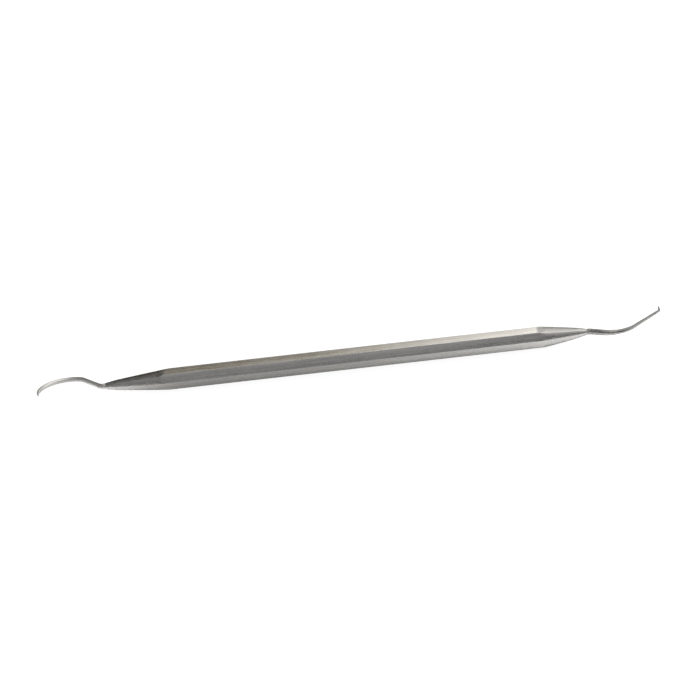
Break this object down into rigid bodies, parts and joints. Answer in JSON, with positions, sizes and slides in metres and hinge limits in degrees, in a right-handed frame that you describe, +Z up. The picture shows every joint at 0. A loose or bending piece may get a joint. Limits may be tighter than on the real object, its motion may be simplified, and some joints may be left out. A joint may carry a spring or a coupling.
{
  "type": "scriber",
  "caption": "Double-ended steel scriber with an octagonal tapered handle, a hooked needle point at one end and a slender angled needle point with a turned-up nib at the other.",
  "frame": {"origin": "on the handle's axis, in the middle of its full-width length", "axes": "+X along the handle from the hook end to the angled end, +Y towards the side that both points bend to, +Z up as the tool lies on a bench"},
  "size_m": [0.165, 0.0129, 0.0056],
  "materials": {
    "handle_steel": "bare stainless steel, brushed along its length",
    "point_steel": "bare stainless steel, satin, polished at the bends and tips"
  },
  "bodies": {
    "root": {"handle": "handle_steel", "hook_point": "point_steel", "angled_point": "point_steel"}
  },
  "joints": []
}
